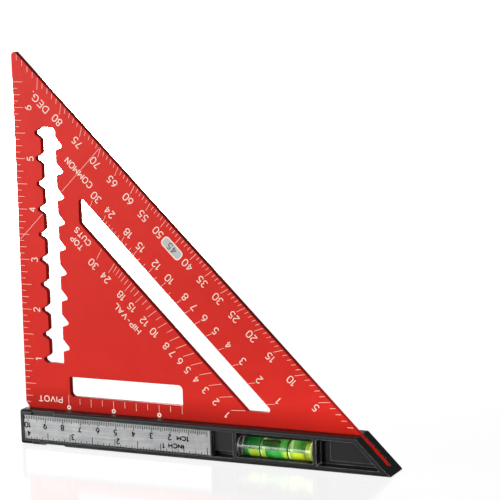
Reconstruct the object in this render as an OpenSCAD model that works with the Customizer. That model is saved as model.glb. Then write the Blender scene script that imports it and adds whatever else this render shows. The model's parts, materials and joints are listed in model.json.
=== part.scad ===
// Rafter square: a notched triangular blade held in a moulded fence that
// carries a steel rule and a spirit vial.
// Frame: the origin is the pivot corner, where the blade's upright edge, the
// blade's front face and the top of the fence meet. +X runs along the fence,
// +Y to the back, +Z up.

/* [Blade] */
// Reach of the sloping edge: X plus Z is this value along it
hyp = 182.1; // [150:0.1:220]
// Thickness of the plate
blade_t = 3.2; // [2.4:0.1:4]
// How far the plate goes down into the fence
blade_depth = 14; // [11:0.5:15]
// Radius of the top tip
tip_r = 1.8; // [0.5:0.1:4]
// Width of the corner cut at the pivot
pivot_cut_x = 1.9; // [0.5:0.1:3]
// Height of the corner cut at the pivot
pivot_cut_z = 2.8; // [0.5:0.1:5]

/* [Notched slot] */
// Distance from one scribing notch to the next
pitch = 12.7; // [10:0.1:16]
// Height of the first notch above the fence
first_notch = 25.3; // [20:0.1:32]
// Left side of the slot between its notches
slot_x = 15.2; // [13:0.1:18]
// Width of the slot between its notches
slot_w = 7.7; // [5:0.1:9]
// Depth of a notch beside the slot
notch_depth = 3.4; // [2:0.1:5]
// Radius at the bottom of a notch
notch_r = 1.15; // [0.6:0.05:1.5]
// Half of the mouth of a left notch
notch_mouth = 2.8; // [2:0.1:3.5]
// Long flank of a right notch, upwards from its tip
flank_up = 4.4; // [3:0.1:5]
// Short flank of a right notch, downwards from its tip
flank_down = 1.9; // [1.5:0.1:3]
// Height kept free between the slot and the sloping edge
slot_top_gap = 39.6; // [34:0.1:50]
// Radius of the slot's upper right and lower left corners
slot_r = 2.4; // [1:0.1:3]

/* [Diagonal slot] */
// Distance along X from the diagonal slot to the sloping edge
diag_margin = 37.6; // [30:0.1:45]
// Width of the diagonal slot, measured along X
diag_w = 13.9; // [9:0.1:18]
// Web between the right notches and the diagonal slot
diag_web = 8.9; // [5:0.1:14]
// Height of the diagonal slot's flat lower end
diag_z = 6.9; // [4:0.1:12]
// Corner radius of the diagonal slot
diag_r = 1.5; // [0.8:0.1:2.5]

/* [Window] */
// Left side of the window
win_x = 26.1; // [24:0.1:34]
// Lower side of the window
win_z = 7; // [5:0.1:10]
// Height of the window
win_h = 10.1; // [6:0.1:12]
// Web along X between the window and the diagonal slot
win_gap = 24.7; // [12:0.1:40]
// Radius of the window's upper right and lower left corners
win_r = 2.4; // [1:0.1:3.5]
// Radius of the window's other two corners
win_side_r = 0.8; // [0.3:0.1:1.5]

/* [Fence] */
// Height of the fence
base_h = 17.5; // [16.5:0.5:22]
// Thickness of the fence in front of and behind the blade
wall_t = 6.8; // [6.2:0.1:9]
// Where the fence starts along X
base_x = 0.4; // [0:0.1:1.5]
// Radius of the fence's long edges
edge_r = 1; // [0.4:0.1:1.8]
// Play between the blade and its slot in the fence, on each side
slot_play = 0.05; // [0.02:0.01:0.1]
// Height of the rim above the front recesses
rim_top = 2.4; // [1.8:0.1:3]
// Height of the rim below the front recesses
rim_low = 2.5; // [2:0.1:3]
// Depth of the recesses in front
recess_depth = 3.2; // [2:0.1:4]
// Depth of the grooves beside the recess panels
groove_depth = 5.6; // [4.5:0.1:5.9]
// Height of the groove below a recess panel
groove_h = 2.1; // [1.5:0.1:3]
// Width of the upright groove beside the end panel
end_groove = 5.8; // [3:0.1:8]
// Width of the upright ribs
rib_t = 2; // [1.4:0.1:3]
// Width of the panel between the rule and the vial
panel_w = 11.8; // [8:0.1:16]
// Distance along X from the vial pocket to the end face
vial_to_end = 21.9; // [18:0.1:30]
// Rim left along the sloping end face, measured along X
end_rim = 3.3; // [2.5:0.1:5]
// Start of the shallow notch under the fence
foot_notch_x = 14; // [10:0.5:20]
// Length of the shallow notch under the fence
foot_notch_w = 11.3; // [6:0.1:16]
// Depth of the shallow notch under the fence
foot_notch_h = 0.7; // [0.3:0.1:1.2]
// Length of the finger scoop in the upper rim
scoop_w = 12.5; // [8:0.1:16]
// Depth of the finger scoop in the upper rim
scoop_depth = 0.8; // [0.3:0.1:1]
// Depth of the moulded panels on the back
back_panel_depth = 1.2; // [0.5:0.1:2]

/* [End cap] */
// Length of the cap that closes the fence at the pivot
cap_len = 6.5; // [5:0.1:9]
// Radius of the cap's long edges
cap_r = 1.5; // [0.4:0.1:1.8]
// Wall left between the cap's end and the rule
cap_wall = 1.8; // [1.2:0.1:2.5]
// Length of the two tongues that plug into the fence
tongue_len = 3.2; // [2:0.1:4]
// Thickness of a tongue
tongue_t = 2; // [1.4:0.1:2.4]
// Height of a tongue
tongue_h = 6; // [4:0.1:8]

/* [Rule] */
// Height of the steel rule
rule_h = 12.3; // [11.5:0.1:12.4]
// Thickness of the steel rule
rule_t = 1; // [0.5:0.1:1.2]
// Thickness of the adhesive tape behind it
tape_t = 0.2; // [0.1:0.05:0.4]
// How far the rule lies below the front of the fence
rule_sink = 0.3; // [0.1:0.1:0.6]
// Gap around the rule in its pocket
rule_gap = 0.2; // [0.1:0.05:0.4]

/* [Vial] */
// Radius of the vial's tube
vial_r = 4.6; // [4:0.1:4.7]
// Length of the vial with its plug
vial_len = 39.2; // [34:0.1:44]
// Wall of the tube
vial_wall = 1.1; // [0.8:0.1:1.6]
// Gap between the level rings and the vial's pocket
vial_gap = 0.05; // [0.05:0.05:0.2]
// Free length at each end of the vial in its pocket
vial_play = 0.3; // [0.1:0.1:0.5]
// Depth of the vial's front behind the front of the fence
vial_sink = 0.4; // [0.3:0.05:1]
// Thickness of the plug's flange
plug_flange = 1.2; // [0.8:0.1:2]
// Length of the plug's stem
plug_stem = 2.7; // [2:0.1:4]
// Distance between the two level rings
ring_span = 14.5; // [12:0.1:18]
// Width of a level ring
ring_w = 0.7; // [0.4:0.1:1]
// Thickness of a level ring
ring_t = 0.1; // [0.1:0.05:0.2]
// Length of the bubble
bubble_len = 9.8; // [7:0.1:12]
// Radius of the bubble
bubble_r = 1.3; // [0.9:0.1:1.5]
// How far the bubble rests from the middle of the rings
bubble_rest = -2.5; // [-4:0.1:4]
// Clear space around the bubble in its channel
bubble_gap = 0.35; // [0.3:0.05:0.5]
// Length of one of the two cradles that carry the vial
cradle_w = 2; // [1:0.1:3]

/* [Screws] */
// Radius of a screw's shank
screw_r = 1.45; // [1.2:0.05:1.6]
// Radius of a screw's countersunk head
head_r = 2.8; // [2.4:0.1:3.2]
// Length of a screw with its head
screw_len = 12.5; // [11:0.1:12.8]
// Gap between a screw and its hole
screw_gap = 0.05; // [0.02:0.01:0.1]
// Width of the cross in a screw's head
drive_w = 0.6; // [0.4:0.1:0.8]
// Length of the cross in a screw's head
drive_len = 3; // [2:0.1:3.6]
// Depth of the cross in a screw's head
drive_depth = 0.9; // [0.5:0.1:1.1]
// Distance along X from the end screw to the end face
end_screw = 10; // [8:0.1:14]
// Distance along X from the rule's ends to its outer screws
rule_screw = 12; // [11:0.1:20]

/* [Hidden] */
$fn = 48;
past = 1;                                   // overshoot of a cut past a face
front_y = -wall_t;                          // front of the fence
back_y = blade_t + wall_t;                  // back of the fence
notch_count = floor((hyp - slot_top_gap - first_notch) / pitch) + 1;
slot_low = first_notch - 1.7;               // lower end of the notched slot
slot_high = first_notch + (notch_count - 1) * pitch + 2.9;
slot_right = slot_x + slot_w;
tip_rise = 6.5;                             // a right notch's tip above its left notch
diag_high = hyp - diag_margin;              // X plus Z along the slot's two long sides
diag_low = diag_high - diag_w;
diag_x = slot_right + notch_depth + diag_web;
win_right = diag_low - win_z - win_h - win_gap;
pocket_right = hyp - vial_to_end;           // vial pocket along X
pocket_left = pocket_right - vial_len - 2 * vial_play;
panel_left = pocket_left - rib_t - panel_w; // where the rule's pocket ends
cap_end = base_x + cap_len;
rule_left = base_x + cap_wall + rule_gap;
rule_right = panel_left - rule_gap;
rule_low = -rim_top - rule_gap - rule_h;
bed_y = front_y + rule_sink + rule_t + tape_t;
vial_left = (pocket_left + pocket_right - vial_len) / 2;
vial_y = front_y + vial_sink + vial_r;      // axis of the vial
pocket_low = -base_h + 3.2;
seat_r = vial_r + ring_t + vial_gap;        // round floor of the vial pocket
vial_z = pocket_low + seat_r;
pocket_y = blade_t + slot_play;             // back of the vial pocket
bore_r = vial_r - vial_wall;
bore_left = vial_left + 2.9;                // closed end of the tube's bore
plug_left = vial_left + vial_len - plug_flange - plug_stem;
rings_x = (bore_left + plug_left) / 2;      // middle between the level rings
fill_gap = 0.05;                            // film between the liquid and its tube
channel_w = 2 * (bubble_r + bubble_gap);
bubble_z = vial_z + bubble_r + bubble_gap;
screw_y = back_y - 0.1;                     // outer face of the screw heads
screw_z = -8;
screw_x = [cap_end + 7.1, (rule_left + rule_right) / 2, rule_right - rule_screw, hyp - end_screw];

// A plate drawn in X and Z, standing on y0 and t thick
module plate(y0, t) {
    translate([0, y0 + t, 0]) rotate([90, 0, 0]) linear_extrude(t) children();
}

// A bar drawn in Y and Z, from x0 and len long
module bar(x0, len) {
    translate([x0, 0, 0]) rotate([90, 0, 90]) linear_extrude(len) children();
}

// A rod along X
module rod(x0, len, r) {
    translate([x0, 0, 0]) rotate([0, 90, 0]) cylinder(h = len, r = r);
}

// A box from its lowest to its highest corner
module block(low, high) {
    translate(low) cube(high - low);
}

// What a round corner takes off; inward leads from the corner to the circle's centre
module corner_waste(corner, inward) {
    difference() {
        translate([min(corner[0], corner[0] + inward[0]), min(corner[1], corner[1] + inward[1])])
            square(abs(inward[0]));
        translate(corner + inward) circle(abs(inward[0]));
    }
}

// A rectangle with radius r at its lower left and upper right corners, and side_r at the others
module round_rect(low, high, r, side_r) {
    difference() {
        translate(low) square(high - low);
        corner_waste(low, [r, r]);
        corner_waste(high, [-r, -r]);
        corner_waste([high[0], low[1]], [-side_r, side_r]);
        corner_waste([low[0], high[1]], [side_r, -side_r]);
    }
}

// One scribing notch on the left of the slot
module left_notch(z) {
    tip = slot_x - notch_depth + notch_r;
    translate([tip, z]) circle(notch_r);
    polygon([[tip, z + notch_r], [slot_x + past, z + notch_mouth + 0.8],
             [slot_x + past, z - notch_mouth - 0.8], [tip, z - notch_r]]);
}

// One scribing notch on the right of the slot, with a long upper flank
module right_notch(z) {
    tip = slot_right + notch_depth - notch_r;
    translate([tip, z]) circle(notch_r);
    polygon([[tip + notch_r * 0.7, z + notch_r * 0.7], [slot_right, z + flank_up],
             [slot_right - past, z + flank_up], [slot_right - past, z - flank_down],
             [slot_right, z - flank_down], [tip, z - notch_r]]);
}

// The upright slot with its two rows of notches
module notched_slot() {
    slot_height = slot_high - slot_low;
    difference() {
        union() {
            translate([slot_x, slot_low]) square([slot_w, slot_height]);
            intersection() {
                translate([0, slot_low]) square([slot_right + notch_depth, slot_height]);
                union() {
                    for (i = [0 : notch_count - 1]) left_notch(first_notch + i * pitch);
                    for (i = [0 : notch_count - 2]) right_notch(first_notch + tip_rise + i * pitch);
                }
            }
        }
        corner_waste([slot_right, slot_high], [-slot_r, -slot_r]);
        corner_waste([slot_x - notch_depth, slot_low], [slot_r, slot_r]);
    }
}

// The slot that runs beside the sloping edge
module diagonal_slot() {
    // centres of the four corner circles
    r = diag_r;
    reach = r * sqrt(2);
    a = [diag_x + r, diag_high - reach - diag_x - r];
    b = [diag_x + r, diag_low + reach - diag_x - r];
    c = [diag_low + reach - diag_z - r, diag_z + r];
    d = [diag_high - reach - diag_z - r, diag_z + r];
    up = [r, r] / sqrt(2);
    for (p = [a, b, c, d]) translate(p) circle(r);
    polygon([a + up, a - [r, 0], b - [r, 0], b - up, c - up, c - [0, r], d - [0, r], d + up]);
}

// The sloping end of the fence as a half plane in X and Z
module before_end(offset_x) {
    reach = base_h + past;
    polygon([[base_x - past, -reach], [hyp - offset_x + reach, -reach],
             [hyp - offset_x - past, past], [base_x - past, past]]);
}

module blade_outline() {
    centre = [tip_r, hyp - tip_r * (1 + sqrt(2))];
    difference() {
        polygon([[pivot_cut_x, 0], [0, pivot_cut_z], [0, hyp], [hyp + blade_depth, -blade_depth],
                 [pivot_cut_x, -blade_depth]]);
        difference() {
            polygon([centre, [-past, centre[1]], [-past, hyp + past], centre + [hyp, hyp] / 10]);
            translate(centre) circle(tip_r);
        }
    }
}

module screw_hole(r, i, y0, len) {
    translate([screw_x[i], y0 + len, screw_z]) rotate([90, 0, 0]) cylinder(h = len, r = r);
}

module blade() color("#d8302a") difference() {
    plate(0, blade_t) difference() {
        blade_outline();
        notched_slot();
        diagonal_slot();
        round_rect([win_x, win_z], [win_right, win_z + win_h], win_r, win_side_r);
        translate([pocket_left - 0.2, -blade_depth - past])
            square([pocket_right - pocket_left + 0.4, blade_depth + past - rim_top + 0.2]);
    }
    for (i = [0 : 3]) screw_hole(screw_r + 0.2, i, -past, blade_t + 2 * past);
}

// The outer shape of the fence and its cap, with the slot for the blade
module channel(x0, x1, r, slot_x0) {
    difference() {
        intersection() {
            bar(x0, x1 - x0) round_rect([front_y, -base_h], [back_y, 0], r, r);
            plate(front_y - past, back_y - front_y + 2 * past) before_end(0);
        }
        block([slot_x0, -slot_play, -blade_depth - 0.2], [x1 + past, blade_t + slot_play, past]);
    }
}

// Where the rule and its tape lie
module rule_pocket() {
    block([rule_left - rule_gap, front_y - past, rule_low - rule_gap], [panel_left, bed_y, -rim_top]);
}

// A stretch of the fence's front, up to the rim of its sloping end
module recess_area(x0, x1, z0, z1) {
    intersection() {
        before_end(end_rim);
        translate([x0, z0]) square([x1 - x0, z1 - z0]);
    }
}

// A recess in front whose panel stands between a groove below and, if asked, one beside
module front_recess(x0, x1, side_groove) {
    low = -base_h + rim_low;
    plate(front_y - past, recess_depth + past) recess_area(x0, x1, low, -rim_top);
    plate(front_y, groove_depth) recess_area(x0, x1, low, low + groove_h);
    if (side_groove > 0)
        block([x0, front_y, low], [x0 + side_groove, front_y + groove_depth, -rim_top]);
}

module vial_pocket() {
    difference() {
        block([pocket_left, front_y - past, pocket_low], [pocket_right, pocket_y, -rim_top]);
        for (x = [vial_left + 0.8, vial_left + vial_len - 0.8 - cradle_w])
            block([x, vial_y, pocket_low - past], [x + cradle_w, pocket_y + past, -rim_top + past]);
    }
    translate([0, vial_y, vial_z]) rod(pocket_left, pocket_right - pocket_left, seat_r);
}

module tongues(grow) {
    for (y = [front_y / 2 - tongue_t / 2 + 0.6, back_y - wall_t / 2 - tongue_t / 2])
        block([cap_end - past, y - grow, -base_h / 2 - tongue_h / 2 - grow],
              [cap_end + tongue_len + grow, y + tongue_t + grow, -base_h / 2 + tongue_h / 2 + grow]);
}

module back_panels() {
    edges = [for (x = screw_x) [x - 2 * head_r, x + 2 * head_r]];
    for (i = [0 : 2])
        plate(back_y - back_panel_depth, back_panel_depth + past)
            round_rect([edges[i][1], -base_h + rim_low + 0.6], [edges[i + 1][0], -rim_top - 0.6],
                       edge_r, edge_r);
}

module screw_seats() {
    for (i = [0 : 3]) {
        screw_hole(screw_r + screw_gap, i, screw_y - screw_len - screw_gap, screw_len);
        translate([screw_x[i], back_y + past, screw_z]) rotate([90, 0, 0])
            cylinder(h = past + 0.1, r = head_r + screw_gap);
        translate([screw_x[i], screw_y, screw_z]) rotate([90, 0, 0])
            cylinder(h = head_r - screw_r, r1 = head_r + screw_gap, r2 = screw_r + screw_gap);
    }
}

module base() color("#26272a") difference() {
    channel(cap_end, hyp + base_h, edge_r, cap_end - past);
    rule_pocket();
    front_recess(panel_left, pocket_left - rib_t, 0);
    front_recess(pocket_right + rib_t, hyp + base_h, end_groove);
    vial_pocket();
    tongues(0.1);
    back_panels();
    screw_seats();
    block([cap_end - past, front_y - past, -rim_top - past], [cap_end + scoop_w, front_y + scoop_depth, past]);
    block([foot_notch_x, front_y - past, -base_h - past],
          [foot_notch_x + foot_notch_w, back_y + past, -base_h + foot_notch_h]);
}

module end_cap() color("#1f2023") {
    difference() {
        channel(base_x, cap_end, cap_r, pivot_cut_x - slot_play);
        rule_pocket();
    }
    intersection() {
        tongues(0);
        block([cap_end, front_y, -base_h], [cap_end + tongue_len, back_y, 0]);
    }
}

module ruler_plate() color("#c4c7ca")
    block([rule_left, front_y + rule_sink, rule_low],
          [rule_right, front_y + rule_sink + rule_t, rule_low + rule_h]);

module ruler_tape() color("#e8e4d4")
    block([rule_left + past, bed_y - tape_t, rule_low + past],
          [rule_right - past, bed_y, rule_low + rule_h - past]);

module vial_tube() color([0.85, 0.95, 0.75, 0.4]) translate([0, vial_y, vial_z]) difference() {
    rod(vial_left, vial_len - plug_flange, vial_r);
    rod(bore_left, vial_len, bore_r);
}

module vial_plug() color("#b9c93a") translate([0, vial_y, vial_z]) {
    rod(plug_left, plug_stem, bore_r - fill_gap);
    rod(plug_left + plug_stem, plug_flange, vial_r);
}

module vial_liquid() color("#7fc21e") difference() {
    translate([0, vial_y, vial_z])
        rod(bore_left + fill_gap, plug_left - bore_left - 2 * fill_gap, bore_r - fill_gap);
    block([bore_left + past / 2, vial_y - channel_w / 2, vial_z],
          [plug_left - past / 2, vial_y + channel_w / 2, vial_z + vial_r]);
}

module vial_bubble() color("#e6f2b0") {
    straight = bubble_len - 2 * bubble_r;
    translate([rings_x + bubble_rest - straight / 2, vial_y, bubble_z]) {
        rod(0, straight, bubble_r);
        for (x = [0, straight]) translate([x, 0, 0]) sphere(bubble_r);
    }
}

module level_ring(side) color("#101010")
    translate([rings_x + side * ring_span / 2 - ring_w / 2, vial_y, vial_z]) difference() {
        rod(0, ring_w, vial_r + ring_t);
        rod(-past, ring_w + 2 * past, vial_r);
    }

module blade_screw(i) color("#8e9094") translate([screw_x[i], screw_y, screw_z]) rotate([90, 0, 0])
    difference() {
        union() {
            cylinder(h = head_r - screw_r, r1 = head_r, r2 = screw_r);
            cylinder(h = screw_len, r = screw_r);
        }
        for (turn = [0, 90]) rotate([0, 0, turn])
            translate([-drive_len / 2, -drive_w / 2, -past]) cube([drive_len, drive_w, drive_depth + past]);
    }

blade();
base();
end_cap();
ruler_plate();
ruler_tape();
vial_tube();
vial_plug();
vial_liquid();
vial_bubble();
level_ring(-1);  // level_ring_left
level_ring(1);  // level_ring_right
blade_screw(0);  // blade_screw_1
blade_screw(1);  // blade_screw_2
blade_screw(2);  // blade_screw_3
blade_screw(3);  // blade_screw_4
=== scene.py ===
"""Looks of a rafter square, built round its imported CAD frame.

The CAD nodes give every shape and place. This script softens their edges, prints the scales
and numbers on the blade and the rule, and gives each piece its finish. Lengths in the classes
are millimetres and are turned to metres where a mesh is made.
"""

import json
import logging
import math
from dataclasses import dataclass, field
from enum import Enum
from typing import Iterable, Sequence

import bmesh
import bpy
from bpy.types import Material, Mesh, Node, NodeSocket, NodeTree, Object
from mathutils import Matrix, Vector

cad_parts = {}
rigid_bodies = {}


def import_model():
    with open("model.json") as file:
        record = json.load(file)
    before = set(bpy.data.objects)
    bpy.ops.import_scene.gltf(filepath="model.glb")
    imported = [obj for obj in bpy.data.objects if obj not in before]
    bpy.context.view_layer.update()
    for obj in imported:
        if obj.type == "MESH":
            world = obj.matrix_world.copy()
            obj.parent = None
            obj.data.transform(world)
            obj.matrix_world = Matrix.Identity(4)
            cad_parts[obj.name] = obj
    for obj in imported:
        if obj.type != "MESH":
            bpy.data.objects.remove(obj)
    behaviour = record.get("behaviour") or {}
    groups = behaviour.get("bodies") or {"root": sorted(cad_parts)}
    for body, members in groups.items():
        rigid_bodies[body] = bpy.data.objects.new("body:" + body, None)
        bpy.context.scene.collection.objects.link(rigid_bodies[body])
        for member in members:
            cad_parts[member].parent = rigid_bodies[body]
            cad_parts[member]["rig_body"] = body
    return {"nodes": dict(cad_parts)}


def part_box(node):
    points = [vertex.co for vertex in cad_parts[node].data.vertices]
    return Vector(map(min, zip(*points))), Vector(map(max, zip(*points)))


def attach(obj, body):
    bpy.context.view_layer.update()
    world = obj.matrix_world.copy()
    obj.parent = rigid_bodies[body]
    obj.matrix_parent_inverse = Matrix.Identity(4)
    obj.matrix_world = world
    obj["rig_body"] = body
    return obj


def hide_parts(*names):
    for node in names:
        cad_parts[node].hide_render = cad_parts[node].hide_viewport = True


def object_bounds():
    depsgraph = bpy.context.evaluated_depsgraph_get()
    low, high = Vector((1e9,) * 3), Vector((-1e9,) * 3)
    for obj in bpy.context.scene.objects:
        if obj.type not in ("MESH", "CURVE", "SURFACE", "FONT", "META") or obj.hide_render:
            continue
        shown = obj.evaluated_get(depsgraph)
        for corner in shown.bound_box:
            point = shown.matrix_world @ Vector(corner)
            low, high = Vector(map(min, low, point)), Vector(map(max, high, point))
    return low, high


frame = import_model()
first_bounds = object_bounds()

log = logging.getLogger("rafter_square")

MM = 0.001
RGB = tuple[float, float, float]
WHITE: RGB = (1.0, 1.0, 1.0)
# The body that all but the bubble ride on
SQUARE = "square"
INCH = 25.4


class Slot(Enum):
    """The record's material slots."""

    BLADE = "blade_red"
    FENCE = "fence_black"
    CAP = "cap_black"
    RULE = "rule_steel"
    TAPE = "tape"
    CLEAR = "vial_clear"
    PLUG = "vial_plug"
    SPIRIT = "spirit"
    BUBBLE = "bubble"
    RING = "ring_black"
    SCREW = "screw_steel"


class Pen(Enum):
    """The line widths that letters are drawn with, in millimetres."""

    RULE = 0.6
    FIGURE = 0.44


# ---------------------------------------------------------------- shader building blocks

UNIT = (0.0, 1.0)
# Where most values of a noise lie
NOISE_SPAN = (0.35, 0.65)


def screen(red: int, green: int, blue: int) -> RGB:
    """The linear colour of an 8-bit screen colour."""
    shares = [value / 255 for value in (red, green, blue)]
    return tuple(s / 12.92 if s <= 0.04045 else ((s + 0.055) / 1.055) ** 2.4 for s in shares)


class Graph:
    """Adds nodes to one node tree and joins them."""

    def __init__(self, tree: NodeTree) -> None:
        """Keeps the tree and clears what it holds."""
        self.tree = tree
        tree.nodes.clear()

    def add(self, kind: str, settings: dict | None = None, **inputs: object) -> Node:
        """Adds a node.

        Args:
            kind: Blender's name of the node type.
            settings: The node's own properties.
            **inputs: Values or sockets for its inputs. Underscores stand for spaces, and
                a name such as _0 is an input's number.

        Returns:
            The new node.
        """
        node = self.tree.nodes.new(kind)
        for name, value in (settings or {}).items():
            setattr(node, name, value)
        for name, value in inputs.items():
            number = name[1:].isdigit() and name[0] == "_"
            socket = node.inputs[int(name[1:]) if number else name.replace("_", " ")]
            self.feed(socket, value)
        return node

    def feed(self, socket: NodeSocket, value: object) -> None:
        """Links a socket to the input, or sets the input's own value."""
        if isinstance(value, NodeSocket):
            self.tree.links.new(value, socket)
        elif isinstance(value, (tuple, list)) and socket.type == "RGBA":
            socket.default_value = (*value[:3], 1.0)
        else:
            socket.default_value = value

    def feed_all(self, node: Node, values: dict[str, object]) -> None:
        """Feeds several inputs of a node, each by its name."""
        for label, value in values.items():
            self.feed(node.inputs[label], value)

    def place(self) -> NodeSocket:
        """Where the shaded point is on its object."""
        return self.add("ShaderNodeTexCoord").outputs["Object"]

    def noise(self, place: NodeSocket, scale: object, detail: float) -> NodeSocket:
        """Noise over places, mostly within NOISE_SPAN."""
        return self.add("ShaderNodeTexNoise", Vector=place, Scale=scale, Detail=detail).outputs[0]

    def bump(self, height: NodeSocket, relief_mm: float) -> NodeSocket:
        """Normals of a relief of the given depth, in millimetres."""
        node = self.add("ShaderNodeBump", Strength=1.0, Distance=relief_mm * MM, Height=height)
        return node.outputs["Normal"]

    def ramp(self, value: NodeSocket, *stops: tuple[float, int, int, int]) -> NodeSocket:
        """A colour ramp over the value. A stop is its place and its 8-bit screen colour."""
        node = self.add("ShaderNodeValToRGB", _0=value)
        elements = node.color_ramp.elements
        while len(elements) < len(stops):
            elements.new(1.0)
        for element, (place, *colour) in zip(elements, stops):
            element.position = place
            element.color = (*screen(*colour), 1.0)
        return node.outputs["Color"]

    def remap(self, value: NodeSocket, span: tuple[float, float],
              out: tuple[object, object] = UNIT) -> NodeSocket:
        """The value carried from one span to another and held within it."""
        node = self.add("ShaderNodeMapRange", Value=value)
        self.feed_all(node, dict(zip(("From Min", "From Max", "To Min", "To Max"), (*span, *out))))
        return node.outputs["Result"]

    def mix(self, share: object, first: object, second: object) -> NodeSocket:
        """Mixes two colours by a share."""
        return self.add("ShaderNodeMix", {"data_type": "RGBA"}, _0=share, _6=first, _7=second).outputs[2]

    def maths(self, action: str, *values: object) -> NodeSocket:
        """One arithmetic step."""
        inputs = {f"_{i}": value for i, value in enumerate(values)}
        return self.add("ShaderNodeMath", {"operation": action}, **inputs).outputs[0]

    def weigh(self, first: NodeSocket, second: NodeSocket, share: float) -> NodeSocket:
        """Adds a share of the first value and the rest of the second."""
        parts = (self.maths("MULTIPLY", value, part) for value, part in ((first, share), (second, 1 - share)))
        return self.maths("ADD", *parts)


def new_group(name: str, inputs: dict[str, object],
              outputs: dict[str, str]) -> tuple[NodeTree, Graph, Node, Node]:
    """Makes an empty shader node group.

    Args:
        name: The group's name.
        inputs: Names of the inputs with their first values; a tuple makes a colour input.
        outputs: Names of the outputs with their socket types.

    Returns:
        The group, its graph, its input node and its output node.
    """
    tree = bpy.data.node_groups.new(name, "ShaderNodeTree")
    for label, value in inputs.items():
        kind = "NodeSocketColor" if isinstance(value, tuple) else "NodeSocketFloat"
        socket = tree.interface.new_socket(name=label, in_out="INPUT", socket_type=kind)
        socket.default_value = (*value, 1.0) if isinstance(value, tuple) else value
    for label, kind in outputs.items():
        tree.interface.new_socket(name=label, in_out="OUTPUT", socket_type=kind)
    graph = Graph(tree)
    return tree, graph, graph.add("NodeGroupInput"), graph.add("NodeGroupOutput")


def make_grain_group() -> NodeTree:
    """The fine grain and slow mottling of a sprayed, moulded or printed surface."""
    inputs = {"Colour": (0.5, 0.5, 0.5), "Shade": (0.4, 0.4, 0.4), "Grain scale": 2000.0,
              "Mottle scale": 60.0, "Rough low": 0.3, "Rough high": 0.5}
    outputs = {"Colour": "NodeSocketColor", "Roughness": "NodeSocketFloat", "Height": "NodeSocketFloat"}
    tree, graph, source, result = new_group("surface_grain", inputs, outputs)
    place = graph.place()
    grain = graph.noise(place, source.outputs["Grain scale"], 2.0)
    mottle = graph.noise(place, source.outputs["Mottle scale"], 3.0)
    share = graph.weigh(graph.remap(mottle, NOISE_SPAN), graph.remap(grain, NOISE_SPAN), 0.6)
    rough = (source.outputs["Rough low"], source.outputs["Rough high"])
    graph.feed_all(result, {"Colour": graph.mix(share, source.outputs["Colour"], source.outputs["Shade"]),
                            "Roughness": graph.remap(share, UNIT, rough), "Height": grain})
    return tree


def make_edge_group() -> NodeTree:
    """A mask of turned edges, which show wear and a painted highlight: 1 where the surface turns sharply,
    broken up by noise.
    """
    tree, graph, source, result = new_group("worn_and_highlit_edges", {"Reach": 0.0003, "Amount": 0.5},
                                            {"Mask": "NodeSocketFloat"})
    smooth = graph.add("ShaderNodeBevel", {"samples": 4}, Radius=source.outputs["Reach"])
    facing = graph.add("ShaderNodeVectorMath", {"operation": "DOT_PRODUCT"}, _0=smooth.outputs[0],
                       _1=graph.add("ShaderNodeNewGeometry").outputs["Normal"])
    turn = graph.remap(facing.outputs["Value"], (0.985, 0.86))
    broken = graph.remap(graph.noise(graph.place(), 700.0, 3.0), (0.35, 0.6), (0.45, 1.0))
    mask = graph.maths("MULTIPLY", graph.maths("MULTIPLY", turn, broken), source.outputs["Amount"])
    graph.feed(result.inputs["Mask"], mask)
    return tree


def make_brush_group() -> NodeTree:
    """Fine lines drawn along X, as brushing leaves on sheet steel."""
    tree, graph, source, result = new_group("brushed_lines", {"Line scale": 9000.0, "Run scale": 45.0},
                                            {"Mask": "NodeSocketFloat", "Height": "NodeSocketFloat"})
    place = graph.place()
    stretch = graph.add("ShaderNodeCombineXYZ", X=source.outputs["Run scale"],
                        Y=source.outputs["Line scale"], Z=source.outputs["Line scale"])
    drawn = graph.add("ShaderNodeVectorMath", {"operation": "MULTIPLY"}, _0=place, _1=stretch.outputs[0])
    lines = graph.noise(drawn.outputs[0], 1.0, 3.0)
    both = graph.weigh(lines, graph.noise(place, 180.0, 4.0), 0.7)
    graph.feed_all(result, {"Mask": graph.remap(both, NOISE_SPAN), "Height": lines})
    return tree


class Effects:
    """The shader groups that several finishes share, each made once."""

    grain: NodeTree
    # Turned edges, which show wear and a painted highlight
    edges: NodeTree
    brush: NodeTree

    @classmethod
    def build(cls) -> None:
        """Makes the three groups."""
        cls.grain, cls.edges, cls.brush = make_grain_group(), make_edge_group(), make_brush_group()

    @classmethod
    def rubbed(cls, graph: Graph, reach_mm: float, amount: float) -> NodeSocket:
        """The mask of turned edges, which show wear and a painted highlight, in a graph."""
        node = graph.add("ShaderNodeGroup", {"node_tree": cls.edges}, Reach=reach_mm * MM, Amount=amount)
        return node.outputs["Mask"]


# ---------------------------------------------------------------- finishes

# Free width beside the bubble in its channel, in millimetres
CHANNEL_GAP = 0.35


def shader_for(name: str, settings: dict[str, object]) -> tuple[Material, Graph, Node]:
    """Makes a material with one Principled shader.

    Args:
        name: The material's name.
        settings: Values of the shader's own sockets.

    Returns:
        The material, its graph and the shader.
    """
    material = bpy.data.materials.new(name)
    material.use_nodes = True
    graph = Graph(material.node_tree)
    shader = graph.add("ShaderNodeBsdfPrincipled")
    graph.feed_all(shader, settings)
    graph.add("ShaderNodeOutputMaterial", Surface=shader.outputs[0])
    return material, graph, shader


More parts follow.
